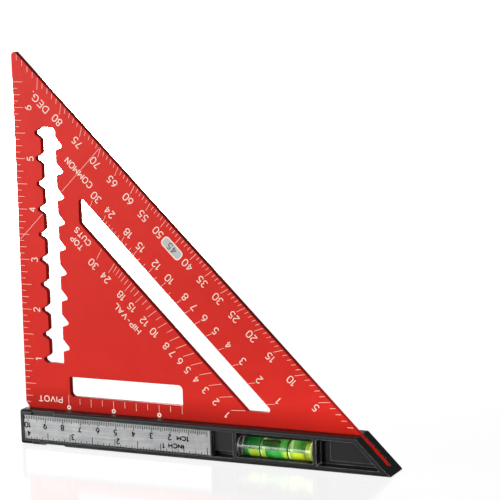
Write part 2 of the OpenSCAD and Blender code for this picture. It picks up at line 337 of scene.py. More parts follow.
@dataclass(frozen=True)
class GrainedFinish:
    """A coating, ink, plastic or soft sheet with fine grain.

    colour and shade are the two ends of its mottling. rough is its roughness span. grain_mm is
    the width of one grain and relief_mm its depth. worn is the paler colour of
    turned edges, partly wear and partly a painted highlight, wear how strongly it
    shows and wear_mm how wide. deep is the darker, fuller colour low
    down, painted shade near the fence, and deep_mm the heights between which it fades
    out. extra holds the shader's constant values.
    """

    name: str
    colour: RGB
    shade: RGB
    rough: tuple[float, float]
    grain_mm: float = 0.4
    mottle_mm: float = 18.0
    relief_mm: float = 0.01
    worn: RGB | None = None
    wear: float = 0.0
    wear_mm: float = 0.35
    deep: RGB | None = None
    deep_mm: tuple[float, float] = (-1.0, 12.0)
    extra: dict[str, object] = field(default_factory=dict)

    def build(self) -> Material:
        """Makes the material."""
        material, graph, shader = shader_for(self.name, self.extra)
        grain = graph.add("ShaderNodeGroup", {"node_tree": Effects.grain}, Colour=self.colour,
                          Shade=self.shade, Grain_scale=1 / (self.grain_mm * MM),
                          Mottle_scale=1 / (self.mottle_mm * MM), Rough_low=self.rough[0],
                          Rough_high=self.rough[1])
        colour = grain.outputs["Colour"]
        # Painted shade: the colour turns darker and fuller low down, near the fence.
        if self.deep:
            height = graph.add("ShaderNodeSeparateXYZ", Vector=graph.place()).outputs["Z"]
            low, high = (value * MM for value in self.deep_mm)
            colour = graph.mix(graph.remap(height, (low, high), (1.0, 0.0)), colour, self.deep)
        # Paler turned edges: partly wear, partly a painted highlight.
        if self.worn:
            colour = graph.mix(Effects.rubbed(graph, self.wear_mm, self.wear), colour, self.worn)
        graph.feed_all(shader, {"Base Color": colour, "Roughness": grain.outputs["Roughness"],
                                "Normal": graph.bump(grain.outputs["Height"], self.relief_mm)})
        return material


@dataclass(frozen=True)
class BrushedFinish:
    """Sheet steel brushed along X."""

    name: str
    bright: RGB
    dull: RGB
    rough: tuple[float, float]
    metallic: float = 0.55
    relief_mm: float = 0.004
    # Paler turned edges: partly wear, partly a painted highlight.
    worn: RGB = (0.9, 0.9, 0.9)
    wear: float = 0.6
    wear_mm: float = 0.25

    def build(self) -> Material:
        """Makes the material."""
        material, graph, shader = shader_for(self.name, {"Metallic": self.metallic})
        brush = graph.add("ShaderNodeGroup", {"node_tree": Effects.brush})
        colour = graph.mix(brush.outputs["Mask"], self.bright, self.dull)
        # Turned edges turn paler: partly wear, partly a painted highlight.
        rubbed = Effects.rubbed(graph, self.wear_mm, self.wear)
        graph.feed_all(shader, {"Base Color": graph.mix(rubbed, colour, self.worn),
                                "Roughness": graph.remap(brush.outputs["Mask"], UNIT, self.rough),
                                "Normal": graph.bump(brush.outputs["Height"], self.relief_mm)})
        return material


@dataclass(frozen=True)
class ClearFinish:
    """Clear acrylic. A wetted face, which liquid touches, has an ior near 1 and no gloss.

    shadow_share is how much of a shadow it casts. edge_glow is how brightly its turned
    edges glow with their own light, a painted glint, and glow_mm how wide that shows.
    """

    name: str
    tint: RGB
    ior: float = 1.49
    rough: float = 0.015
    shadow_share: float = 0.1
    edge_glow: float = 0.0
    glow_mm: float = 0.5

    def build(self) -> Material:
        """Makes the material."""
        material, graph, shader = shader_for(self.name, {"Transmission Weight": 1.0, "IOR": self.ior})
        grain = graph.add("ShaderNodeGroup", {"node_tree": Effects.grain}, Colour=self.tint, Shade=self.tint,
                          Grain_scale=1500.0, Mottle_scale=120.0, Rough_low=self.rough,
                          Rough_high=self.rough * 2)
        # A painted glint: turned edges glow with their own light.
        if self.edge_glow:
            painted_glint = graph.maths("MULTIPLY", Effects.rubbed(graph, self.glow_mm, 1.0), self.edge_glow)
            graph.feed_all(shader, {"Emission Color": self.tint, "Emission Strength": painted_glint})
        shadow = graph.add("ShaderNodeLightPath").outputs["Is Shadow Ray"]
        graph.feed_all(shader, {"Base Color": grain.outputs["Colour"],
                                "Roughness": grain.outputs["Roughness"],
                                "Alpha": graph.remap(shadow, UNIT, (1.0, self.shadow_share))})
        return material


@dataclass(frozen=True)
class SpiritFinish:
    """Yellow-green level spirit with painted light: a painted glow that is brightest low down, painted bright
    and dark patches along it for light bent through the tube, and painted shade that makes it darker above;
    it is also clearer above.

    low_cover, high_cover and far_cover say how much is hidden behind the spirit's lower part,
    its upper part and its far side. The walls of the bubble's channel are left out of it, from
    wall_mm past them and fading over fade_mm. halo_mm is how far the painted pale
    highlights beside the rings reach, and halo how strong they are. glow is how
    brightly the spirit glows with its own light.
    """

    name: str
    axis_z: float
    radius: float
    span: tuple[float, float]
    rings: tuple[float, ...]
    channel_y: float
    channel_half: float
    glow: float = 0.34
    low_cover: float = 0.96
    high_cover: float = 0.15
    far_cover: float = 0.94
    wall_mm: float = 0.1
    fade_mm: float = 0.05
    halo: float = 0.85
    halo_mm: tuple[float, float] = (0.6, 0.9)

    @classmethod
    def measured(cls, name: str) -> "SpiritFinish":
        """The finish with its places, in metres, taken from the vial's nodes."""
        low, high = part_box("vial_liquid")
        bubble_low, bubble_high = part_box("vial_bubble")
        rings = tuple(sum(corner.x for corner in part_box(f"level_ring_{side}")) / 2
                      for side in ("left", "right"))
        return cls(name, (low.z + high.z) / 2, (high.z - low.z) / 2, (low.x, high.x), rings,
                   (bubble_low.y + bubble_high.y) / 2,
                   (bubble_high.y - bubble_low.y) / 2 + CHANNEL_GAP * MM)

    def build(self) -> Material:
        """Makes the material. Its colours follow height across the vial and place along it."""
        # The spirit glows with its own light in its own colour: a painted glow.
        material, graph, shader = shader_for(self.name, {"Roughness": 0.15, "Emission Strength": self.glow,
                                                         "Specular IOR Level": 0.1})
        place = graph.place()
        x, y, z = graph.add("ShaderNodeSeparateXYZ", Vector=place).outputs
        height = graph.remap(z, (self.axis_z - self.radius, self.axis_z + self.radius))
        drift = graph.remap(graph.noise(place, 420.0, 3.0), (0.3, 0.7), (-0.006, 0.006))
        along = graph.maths("ADD", graph.remap(x, self.span), drift)
        # Colours along the vial, for the lower and the upper part: painted bright and dark patches for light
        # bent through the tube.
        low = graph.ramp(along, (0.0, 20, 80, 40), (0.07, 30, 110, 60), (0.1, 150, 185, 50),
                         (0.2, 150, 165, 45), (0.26, 120, 190, 60), (0.335, 195, 215, 60),
                         (0.36, 30, 120, 50), (0.48, 60, 160, 70), (0.6, 50, 150, 60),
                         (0.66, 170, 205, 70), (0.78, 150, 195, 60), (0.82, 190, 205, 30),
                         (0.93, 175, 190, 35), (1.0, 110, 120, 40))
        high = graph.ramp(along, (0.0, 14, 90, 40), (0.28, 50, 150, 56), (0.45, 44, 110, 46),
                          (0.6, 110, 190, 84), (0.68, 60, 140, 60), (0.78, 130, 190, 100),
                          (0.88, 60, 130, 50), (1.0, 80, 130, 45))
        # The upper half and the far side take the darker colours: painted shade above.
        behind = graph.add("ShaderNodeNewGeometry").outputs["Backfacing"]
        upper = graph.maths("MAXIMUM", graph.remap(height, (0.44, 0.49)), behind)
        # Pale bands beside the rings: painted highlights.
        from_rings = (graph.maths("ABSOLUTE", graph.maths("SUBTRACT", x, ring)) for ring in self.rings)
        reach = tuple(value * MM for value in self.halo_mm)
        near = graph.remap(graph.maths("MINIMUM", *from_rings), reach, (self.halo, 0.0))
        colour = graph.mix(near, graph.mix(upper, low, high), screen(225, 240, 165))
        wall, faded = self.wall_mm * MM, (self.wall_mm + self.fade_mm) * MM
        aside = graph.maths("ABSOLUTE", graph.maths("SUBTRACT", y, self.channel_y))
        beside = graph.remap(aside, (self.channel_half + wall, self.channel_half + faded))
        below = graph.remap(z, (self.axis_z - faded, self.axis_z - wall), (1.0, 0.0))
        cover = graph.maths("MULTIPLY", graph.remap(behind, UNIT, (self.high_cover, self.far_cover)),
                            graph.maths("MAXIMUM", beside, below))
        thinner = graph.maths("MULTIPLY", upper, graph.maths("SUBTRACT", cover, self.low_cover))
        graph.feed_all(shader, {"Base Color": colour, "Emission Color": colour,
                                "Alpha": graph.maths("ADD", thinner, self.low_cover)})
        return material


@dataclass(frozen=True)
class BubbleFinish:
    """The bubble: dark where it faces the eye, with a painted pale highlight round its rim."""

    name: str
    heart: RGB
    rim: RGB

    def build(self) -> Material:
        """Makes the material."""
        material, graph, shader = shader_for(self.name, {"Coat Weight": 0.6, "Coat Roughness": 0.05})
        swirl = graph.noise(graph.place(), 500.0, 2.0)
        # A painted highlight: paler where the bubble's surface turns away from the eye.
        edge = graph.add("ShaderNodeLayerWeight", Blend=0.45).outputs["Facing"]
        rim = graph.remap(edge, (0.6, 0.85))
        graph.feed_all(shader, {"Base Color": graph.mix(rim, self.heart, self.rim),
                                "Roughness": graph.remap(swirl, (0.3, 0.7), (0.06, 0.16))})
        return material


class Finishes:
    """Every finish of the tool, made once."""

    def __init__(self) -> None:
        """Makes the materials."""
        # The paler edge colours below are partly wear and partly painted highlights on turned edges.
        dim = {"Specular IOR Level": 0.3}
        self.steel = BrushedFinish("brushed_steel", screen(173, 174, 174), screen(127, 129, 131),
                                   (0.3, 0.44)).build()
        # The red turns darker low down: painted shade near the fence.
        self.red = GrainedFinish("red_enamel", screen(214, 42, 33), screen(206, 36, 26), (0.34, 0.44),
                                 grain_mm=0.35, relief_mm=0.004, worn=screen(246, 150, 130), wear=0.25,
                                 deep=screen(164, 16, 0), extra={"Specular IOR Level": 0.12}).build()
        self.cream = GrainedFinish("cream_ink", screen(253, 236, 222), screen(250, 226, 208), (0.5, 0.6),
                                   grain_mm=0.2, relief_mm=0.004).build()
        self.grey = GrainedFinish("grey_ink", screen(190, 192, 190), screen(172, 176, 176), (0.45, 0.55),
                                  grain_mm=0.25, relief_mm=0.004).build()
        self.plum = GrainedFinish("plum_ink", screen(84, 50, 82), screen(72, 44, 72), (0.5, 0.6),
                                  grain_mm=0.2, relief_mm=0.004).build()
        self.black_ink = GrainedFinish("rule_ink", screen(3, 3, 4), screen(9, 9, 10), (0.45, 0.6),
                                       grain_mm=0.15, relief_mm=0.003,
                                       extra={"Specular IOR Level": 0.1}).build()
        self.fence = GrainedFinish("black_casting", screen(4, 4, 5), screen(8, 8, 9), (0.3, 0.42),
                                   grain_mm=0.3, relief_mm=0.006, worn=screen(200, 202, 206), wear=0.6,
                                   wear_mm=0.55, extra=dim).build()
        self.cap = GrainedFinish("black_moulding", screen(5, 5, 6), screen(10, 10, 11), (0.34, 0.46),
                                 grain_mm=0.45, worn=screen(180, 182, 186), wear=0.65, wear_mm=0.6,
                                 extra=dim).build()
        self.zinc = GrainedFinish("zinc_plate", screen(196, 198, 202), screen(150, 154, 162), (0.25, 0.4),
                                  grain_mm=0.25, mottle_mm=2.5, relief_mm=0.006,
                                  worn=screen(226, 228, 230), wear=0.5, extra={"Metallic": 1.0}).build()
        self.tape = GrainedFinish("bonding_tape", screen(70, 72, 74), screen(48, 50, 52), (0.7, 0.9),
                                  grain_mm=0.2, mottle_mm=3.0, relief_mm=0.03).build()
        self.ring = GrainedFinish("ring_paint", screen(12, 13, 12), screen(20, 22, 18), (0.3, 0.45),
                                  grain_mm=0.15, relief_mm=0.003).build()
        self.plug = GrainedFinish("plug_resin", screen(196, 210, 60), screen(160, 180, 40), (0.15, 0.25),
                                  grain_mm=0.5, mottle_mm=4.0, relief_mm=0.004,
                                  worn=screen(232, 240, 190), wear=0.8,
                                  extra={"Transmission Weight": 0.2}).build()
        # The bubble's pale rim colour is a painted highlight.
        self.bubble = BubbleFinish("level_bubble", screen(62, 54, 34), screen(232, 242, 205)).build()
        # The clear acrylic's turned edges glow: a painted glint.
        self.clear = ClearFinish("clear_acrylic", screen(246, 251, 240), edge_glow=2.2).build()
        self.wetted = ClearFinish("wetted_acrylic", screen(255, 255, 255), ior=1.001, rough=0.0).build()
        # The spirit's colours are painted light: a glow, bright and dark patches, shade above and highlights
        # by the rings.
        self.spirit = SpiritFinish.measured("level_spirit").build()


# ---------------------------------------------------------------- meshes


def add_object(name: str, data: bpy.types.ID) -> Object:
    """Puts a mesh, a light or a camera in the scene as an object at the origin."""
    made = bpy.data.objects.new(name, data)
    bpy.context.scene.collection.objects.link(made)
    return made


def dress(piece: Object, material: Material) -> None:
    """Gives a piece its one material."""
    piece.data.materials.clear()
    piece.data.materials.append(material)


def finished(work: bmesh.types.BMesh, name: str) -> Mesh:
    """The worked mesh, freed, as a mesh whose faces look outwards."""
    bmesh.ops.recalc_face_normals(work, faces=work.faces)
    mesh = bpy.data.meshes.new(name)
    work.to_mesh(mesh)
    work.free()
    return mesh


def plain_mesh(source: Object) -> Mesh:
    """The evaluated object as a plain mesh, with the object taken away afterwards."""
    bpy.context.view_layer.update()
    mesh = bpy.data.meshes.new_from_object(source.evaluated_get(bpy.context.evaluated_depsgraph_get()))
    data = source.data
    bpy.data.objects.remove(source)
    bpy.data.meshes.remove(data)
    return mesh


# Vertices closer than this are one, and faces that turn less than this are one
WELD_MM = 0.0005
FLAT_DEG = 0.4


@dataclass(frozen=True)
class SoftEdge:
    """How a piece's sharp edges are rounded."""

    width_mm: float
    segments: int = 2
    angle_deg: float = 30.0


def softened(node: str, name: str, edge: SoftEdge) -> Object:
    """A merged copy of a CAD node with its sharp edges rounded.

    Args:
        node: The CAD node.
        name: The new piece's name.
        edge: The rounding.

    Returns:
        The piece, which stands for the node and rides where it rides.
    """
    source = frame["nodes"][node]
    mesh = source.data.copy()
    work = bmesh.new()
    work.from_mesh(mesh)
    bmesh.ops.remove_doubles(work, verts=work.verts, dist=WELD_MM * MM)
    bmesh.ops.dissolve_limit(work, angle_limit=math.radians(FLAT_DEG), verts=work.verts, edges=work.edges)
    work.to_mesh(mesh)
    work.free()
    if "custom_normal" in mesh.attributes:
        mesh.attributes.remove(mesh.attributes["custom_normal"])
    mesh.shade_smooth()
    mesh.set_sharp_from_angle(angle=math.radians(edge.angle_deg))
    piece = add_object(name, mesh)
    bevel = piece.modifiers.new("soft_edges", "BEVEL")
    bevel.width = edge.width_mm * MM
    bevel.segments = edge.segments
    bevel.limit_method = "ANGLE"
    bevel.angle_limit = math.radians(edge.angle_deg)
    bevel.use_clamp_overlap = False
    bevel.harden_normals = True
    bevel.miter_outer = "MITER_ARC"
    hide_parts(node)
    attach(piece, source["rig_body"])
    return piece


# ---------------------------------------------------------------- printed legends


@dataclass(frozen=True)
class Tick:
    """One printed line: its middle, its direction and its length."""

    x: float
    z: float
    turn: float
    reach: float


@dataclass(frozen=True)
class Word:
    """Letters or figures: their middle, reading direction, height, and width where it is set."""

    text: str
    x: float
    z: float
    turn: float
    height: float
    width: float | None = None


@dataclass(frozen=True)
class Arc:
    """A bend of a pen stroke, from one angle to another, in degrees."""

    x: float
    y: float
    across: float
    up: float
    start: float
    end: float

    def points(self) -> list[tuple[float, float]]:
        """Points along the bend, one for about every 20 degrees."""
        steps = max(2, round(abs(self.end - self.start) / 20))
        angles = [math.radians(self.start + (self.end - self.start) * i / steps) for i in range(steps + 1)]
        return [(self.x + self.across * math.cos(a), self.y + self.up * math.sin(a)) for a in angles]


# A bend or a corner of a pen stroke
Piece = Arc | tuple[float, float]


@dataclass(frozen=True)
class Glyph:
    """One letter or figure as pen strokes in a box one high and width wide."""

    width: float
    strokes: tuple[tuple[Piece, ...], ...]

    def paths(self) -> list[list[tuple[float, float]]]:
        """The strokes as lists of points."""
        return [[p for piece in stroke for p in (piece.points() if isinstance(piece, Arc) else [piece])]
                for stroke in self.strokes]


ALPHABET: dict[str, Glyph] = {
    "0": Glyph(0.6, ((Arc(0.3, 0.68, 0.3, 0.32, 0, 180), Arc(0.3, 0.32, 0.3, 0.32, 180, 360), (0.6, 0.68)),)),
    "1": Glyph(0.34, (((0.04, 0.76), (0.3, 1.0), (0.3, 0.0)),)),
    "2": Glyph(0.6, ((Arc(0.3, 0.71, 0.28, 0.29, 170, -40), (0.0, 0.0), (0.6, 0.0)),)),
    "3": Glyph(0.58, ((Arc(0.27, 0.76, 0.26, 0.24, 150, -90),), (Arc(0.27, 0.26, 0.3, 0.26, 90, -150),))),
    "4": Glyph(0.64, (((0.46, 0.0), (0.46, 1.0), (0.0, 0.3), (0.64, 0.3)),)),
    "5": Glyph(0.58, (((0.54, 1.0), (0.1, 1.0), (0.06, 0.54), Arc(0.27, 0.31, 0.31, 0.31, 130, -150)),)),
    "6": Glyph(0.6, ((Arc(0.3, 0.3, 0.3, 0.3, 0, 360),), (Arc(0.62, 0.35, 0.62, 0.65, 180, 110),))),
    "7": Glyph(0.58, (((0.0, 1.0), (0.58, 1.0), (0.18, 0.0)),)),
    "8": Glyph(0.6, ((Arc(0.3, 0.77, 0.24, 0.23, 0, 360),), (Arc(0.3, 0.27, 0.3, 0.27, 0, 360),))),
    "9": Glyph(0.6, ((Arc(0.3, 0.7, 0.3, 0.3, 0, 360),), (Arc(-0.02, 0.65, 0.62, 0.65, 0, -70),))),
    "A": Glyph(0.66, (((0.0, 0.0), (0.33, 1.0), (0.66, 0.0)), ((0.12, 0.34), (0.54, 0.34)))),
    "C": Glyph(0.66, ((Arc(0.36, 0.65, 0.36, 0.35, 30, 180), Arc(0.36, 0.35, 0.36, 0.35, 180, 330)),)),
    "D": Glyph(0.64, (((0.0, 0.0), (0.0, 1.0), Arc(0.24, 0.5, 0.4, 0.5, 90, -90), (0.0, 0.0)),)),
    "E": Glyph(0.52, (((0.52, 1.0), (0.0, 1.0), (0.0, 0.0), (0.52, 0.0)), ((0.0, 0.52), (0.44, 0.52)))),
    "G": Glyph(0.7, ((Arc(0.36, 0.65, 0.35, 0.35, 35, 180), Arc(0.36, 0.35, 0.34, 0.35, 180, 360),
                      (0.7, 0.47), (0.42, 0.47)),)),
    "H": Glyph(0.6, (((0.0, 0.0), (0.0, 1.0)), ((0.6, 0.0), (0.6, 1.0)), ((0.0, 0.5), (0.6, 0.5)))),
    "I": Glyph(0.02, (((0.01, 0.0), (0.01, 1.0)),)),
    "L": Glyph(0.48, (((0.0, 1.0), (0.0, 0.0), (0.48, 0.0)),)),
    "M": Glyph(0.74, (((0.0, 0.0), (0.0, 1.0), (0.37, 0.3), (0.74, 1.0), (0.74, 0.0)),)),
    "N": Glyph(0.6, (((0.0, 0.0), (0.0, 1.0), (0.6, 0.0), (0.6, 1.0)),)),
    "O": Glyph(0.7, ((Arc(0.35, 0.62, 0.35, 0.38, 0, 180), Arc(0.35, 0.38, 0.35, 0.38, 180, 360),
                      (0.7, 0.62)),)),
    "P": Glyph(0.56, (((0.0, 0.0), (0.0, 1.0), Arc(0.3, 0.75, 0.26, 0.25, 90, -90), (0.0, 0.5)),)),
    "S": Glyph(0.58, ((Arc(0.29, 0.75, 0.26, 0.25, 25, 250), Arc(0.29, 0.25, 0.29, 0.26, 80, -155)),)),
    "T": Glyph(0.6, (((0.0, 1.0), (0.6, 1.0)), ((0.3, 1.0), (0.3, 0.0)))),
    "U": Glyph(0.58, (((0.0, 1.0), Arc(0.29, 0.3, 0.29, 0.3, 180, 360), (0.58, 1.0)),)),
    "V": Glyph(0.64, (((0.0, 1.0), (0.32, 0.0), (0.64, 1.0)),)),
    ".": Glyph(0.1, (((0.0, 0.02), (0.12, 0.02)),)),
    "-": Glyph(0.4, (((0.02, 0.5), (0.38, 0.5)),)),
}
# Space between letters, as a share of their height
LETTER_GAP = 0.26


@dataclass(frozen=True)
class Ring:
    """One printed ring."""

    x: float
    z: float


@dataclass
class Legend:
    """What one print pass puts on a face that looks to the front."""

    name: str
    line_mm: float = 0.155
    pen: Pen = Pen.FIGURE
    ring_mm: float = 0.8
    ring_line_mm: float = 0.6
    ticks: list[Tick] = field(default_factory=list)
    words: list[Word] = field(default_factory=list)
    rings: list[Ring] = field(default_factory=list)


def face_turn(turn: float) -> Matrix:
    """Turns flat work that reads along X and faces +Z, to read along turn and face the front."""
    c, s = math.cos(math.radians(turn)), math.sin(math.radians(turn))
    return Matrix(((c, -s, 0, 0), (0, 0, -1, 0), (s, c, 0, 0), (0, 0, 0, 1)))


# A pen stroke whose ends are closer than this is a loop
CLOSED_MM = 0.01


class Printer:
    """Prints legends as thin solids of ink on a front face."""

    def __init__(self, thickness_mm: float = 0.04) -> None:
        """Makes the node trees.

        Args:
            thickness_mm: How far the ink stands proud.
        """
        self.thickness = thickness_mm
        self.tick_tree = self.make_tick_tree()
        self.ring_tree = self.make_ring_tree()
        self.pen_tree = self.make_pen_tree()

    @staticmethod
    def open_tree(name: str, sizes: Sequence[str]) -> tuple[Graph, Node]:
        """A geometry tree that takes points, named sizes and an ink."""
        tree = bpy.data.node_groups.new(name, "GeometryNodeTree")
        tree.interface.new_socket(name="Places", in_out="INPUT", socket_type="NodeSocketGeometry")
        for label in sizes:
            tree.interface.new_socket(name=label, in_out="INPUT", socket_type="NodeSocketFloat")
        tree.interface.new_socket(name="Ink", in_out="INPUT", socket_type="NodeSocketMaterial")
        tree.interface.new_socket(name="Print", in_out="OUTPUT", socket_type="NodeSocketGeometry")
        graph = Graph(tree)
        return graph, graph.add("NodeGroupInput")

    @staticmethod
    def close_tree(graph: Graph, source: Node, instances: NodeSocket) -> NodeTree:
        """Ends a geometry tree with Realize Instances and Set Material."""
        real = graph.add("GeometryNodeRealizeInstances", _0=instances)
        inked = graph.add("GeometryNodeSetMaterial", Geometry=real.outputs[0],
                          Material=source.outputs["Ink"])
        graph.add("NodeGroupOutput", _0=inked.outputs[0])
        return graph.tree

    def make_tick_tree(self) -> NodeTree:
        """A bar on each point, turned and stretched by the point's own turn and reach."""
        graph, source = self.open_tree("printed_ticks", ("Line width", "Ink height"))
        bar = graph.add("GeometryNodeMeshCube")
        turn, reach = (graph.add("GeometryNodeInputNamedAttribute", {"data_type": "FLOAT"}, Name=name)
                       for name in ("turn", "reach"))
        back = graph.add("ShaderNodeMath", {"operation": "MULTIPLY"}, _0=turn.outputs[0], _1=-1.0)
        angles = graph.add("ShaderNodeCombineXYZ", X=math.pi / 2, Y=back.outputs[0])
        rotation = graph.add("FunctionNodeEulerToRotation", _0=angles.outputs[0])
        size = graph.add("ShaderNodeCombineXYZ", X=reach.outputs[0], Y=source.outputs["Line width"],
                         Z=source.outputs["Ink height"])
        placed = graph.add("GeometryNodeInstanceOnPoints", Points=source.outputs["Places"],
                           Instance=bar.outputs["Mesh"], Rotation=rotation.outputs[0], Scale=size.outputs[0])
        return self.close_tree(graph, source, placed.outputs[0])

    @staticmethod
    def ribbon(graph: Graph, source: Node, path: NodeSocket, capped: bool) -> NodeSocket:
        """A flat ribbon of ink along a path."""
        band = graph.add("GeometryNodeCurvePrimitiveQuadrilateral", Width=source.outputs["Line width"],
                         Height=source.outputs["Ink height"])
        solid = graph.add("GeometryNodeCurveToMesh", Curve=path, Profile_Curve=band.outputs[0],
                          Fill_Caps=capped)
        return solid.outputs[0]

    def make_ring_tree(self) -> NodeTree:
        """A flat ring on each point."""
        graph, source = self.open_tree("printed_rings", ("Radius", "Line width", "Ink height"))
        loop = graph.add("GeometryNodeCurvePrimitiveCircle", Resolution=24, Radius=source.outputs["Radius"])
        upright = graph.add("GeometryNodeTransform", Rotation=(math.pi / 2, 0.0, 0.0),
                            Geometry=self.ribbon(graph, source, loop.outputs[0], False))
        placed = graph.add("GeometryNodeInstanceOnPoints", Points=source.outputs["Places"],
                           Instance=upright.outputs[0])
        return self.close_tree(graph, source, placed.outputs[0])

    def make_pen_tree(self) -> NodeTree:
        """A flat ribbon of ink along each path."""
        graph, source = self.open_tree("pen_strokes", ("Line width", "Ink height"))
        path = graph.add("GeometryNodeMeshToCurve", Mesh=source.outputs["Places"])
        return self.close_tree(graph, source, self.ribbon(graph, source, path.outputs[0], True))

    def grow(self, points: Mesh, tree: NodeTree, ink: Material, **sizes_mm: float) -> Mesh:
        """Runs a geometry tree on a mesh of points.

        Args:
            points: The points, or the paths.
            tree: The tree.
            ink: The ink.
            **sizes_mm: The tree's sizes in millimetres. Underscores stand for spaces.

        Returns:
            What the tree makes.
        """
        holder = add_object("print_points", points)
        modifier = holder.modifiers.new("print", "NODES")
        modifier.node_group = tree
        names = {item.name: item.identifier for item in tree.interface.items_tree if item.in_out == "INPUT"}
        modifier[names["Ink"]] = ink
        modifier[names["Ink height"]] = self.thickness * MM
        for label, size in sizes_mm.items():
            modifier[names[label.replace("_", " ")]] = size * MM
        holder.update_tag()
        return plain_mesh(holder)

    @staticmethod
    def points_at(marks: Sequence[Tick | Ring], y: float) -> Mesh:
        """A mesh with one point at each mark, all at one place along Y in metres."""
        points = bpy.data.meshes.new("print_points")
        points.from_pydata([(mark.x * MM, y, mark.z * MM) for mark in marks], [], [])
        return points

    @staticmethod
    def paths(word: Word) -> list[list[Vector]]:
        """The word's pen strokes where they lie on the face, in metres, X along and Y up."""
        glyphs = [ALPHABET[letter] for letter in word.text]
        natural = sum(glyph.width for glyph in glyphs) + LETTER_GAP * (len(glyphs) - 1)
        stretch = word.width / (natural * word.height) if word.width else 1.0
        turn = Matrix.Rotation(math.radians(word.turn), 2)
        drawn: list[list[Vector]] = []
        left = -natural / 2
        for glyph in glyphs:
            for path in glyph.paths():
                flat = [Vector(((left + x) * stretch, y - 0.5)) * word.height for x, y in path]
                drawn.append([(turn @ point + Vector((word.x, word.z))) * MM for point in flat])
            left += glyph.width + LETTER_GAP
        return drawn

    @staticmethod
    def split(path: list[Vector], sharp_deg: float = 35.0) -> list[list[Vector]]:
        """Cuts a path at its sharp corners, so that its ribbon keeps its width there."""
        runs = [[path[0]]]
        for before, here, after in zip(path, path[1:], path[2:]):
            runs[-1].append(here)
            if (here - before).angle(after - here, 0.0) > math.radians(sharp_deg):
                runs.append([here])
        runs[-1].append(path[-1])
        return runs

    def letters(self, legend: Legend, ink: Material) -> Mesh:
        """All the legend's words as ribbons of ink in the XY plane."""
        points: list[tuple[float, float, float]] = []
        edges: list[tuple[int, int]] = []
        for word in legend.words:
            for path in (run for stroke in self.paths(word) for run in self.split(stroke)):
                first = len(points)
                closed = (path[0] - path[-1]).length < CLOSED_MM * MM
                kept = path[:-1] if closed else path
                points.extend((p.x, p.y, 0.0) for p in kept)
                edges.extend((first + i, first + i + 1) for i in range(len(kept) - 1))
                if closed:
                    edges.append((first + len(kept) - 1, first))
        mesh = bpy.data.meshes.new("pen_paths")
        mesh.from_pydata(points, edges, [])
        return self.grow(mesh, self.pen_tree, ink, Line_width=legend.pen.value)

    def print(self, legend: Legend, face_y: float, ink: Material) -> Object:
        """Prints a legend.

        Args:
            legend: What is printed.
            face_y: Where the face is along Y, in millimetres.
            ink: The ink.

        Returns:
            The print as one piece that rides on the tool.
        """
        y = (face_y - self.thickness / 2) * MM
        parts: list[Mesh] = []
        if legend.ticks:
            points = self.points_at(legend.ticks, y)
            for label, values in (("turn", [math.radians(t.turn) for t in legend.ticks]),
                                  ("reach", [t.reach * MM for t in legend.ticks])):
                points.attributes.new(label, "FLOAT", "POINT").data.foreach_set("value", values)
            parts.append(self.grow(points, self.tick_tree, ink, Line_width=legend.line_mm))
        if legend.rings:
            parts.append(self.grow(self.points_at(legend.rings, y), self.ring_tree, ink,
                                   Line_width=legend.ring_line_mm, Radius=legend.ring_mm))
        if legend.words:
            mesh = self.letters(legend, ink)
            mesh.transform(Matrix.Translation((0.0, y, 0.0)) @ face_turn(0.0))
            parts.append(mesh)
        piece = add_object(legend.name, joined(legend.name, parts))
        dress(piece, ink)
        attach(piece, SQUARE)
        log.info("printed %s: %d ticks, %d words", legend.name, len(legend.ticks), len(legend.words))
        return piece


def joined(name: str, parts: Iterable[Mesh]) -> Mesh:
    """One mesh from several, with its faces turned outwards and flat."""
    work = bmesh.new()
    for part in parts:
        work.from_mesh(part)
        bpy.data.meshes.remove(part)
    bmesh.ops.remove_doubles(work, verts=work.verts, dist=WELD_MM * MM)
    for face in work.faces:
        face.smooth = False
        face.material_index = 0
    return finished(work, name)


# ---------------------------------------------------------------- the blade


@dataclass(frozen=True)
class RayScale:
    """A scale whose ticks lie on rays from the pivot, between lines parallel to the sloping edge.

    start, long_end, short_end and figures are measured from the sloping edge inwards, along X
    plus Z. figure_shift moves a figure along the scale, past its tick's end.
    """

    start: float
    long_end: float
    short_end: float
    figures: float
    figure_shift: float
    figure_height: float

    def tick(self, edge: float, angle: float, long: bool) -> Tick:
        """The tick on the ray at an angle in radians."""
        spread = math.cos(angle) + math.sin(angle)
        near, far = edge - self.start, edge - (self.long_end if long else self.short_end)
        middle = (near + far) / 2 / spread
        return Tick(middle * math.cos(angle), middle * math.sin(angle), math.degrees(angle),
                    abs(near - far) / spread)

    def figure(self, edge: float, angle: float, text: str) -> Word:
        """The figure beside the tick on the ray at an angle in radians."""
        spread = math.cos(angle) + math.sin(angle)
        end = (edge - self.long_end) / spread
        across = end * (math.cos(angle) - math.sin(angle)) + self.figure_shift
        along = edge - self.figures
        return Word(text, (along + across) / 2, (along - across) / 2, SLOPE_TURN, self.figure_height)


# The reading direction of what is printed along the sloping edge, in degrees
SLOPE_TURN = 135.0


def size_at(mark: int, sizes: dict[int, float]) -> float:
    """The size that a scale's mark takes from the first step it is a multiple of."""
    return next(size for step, size in sizes.items() if mark % step == 0)


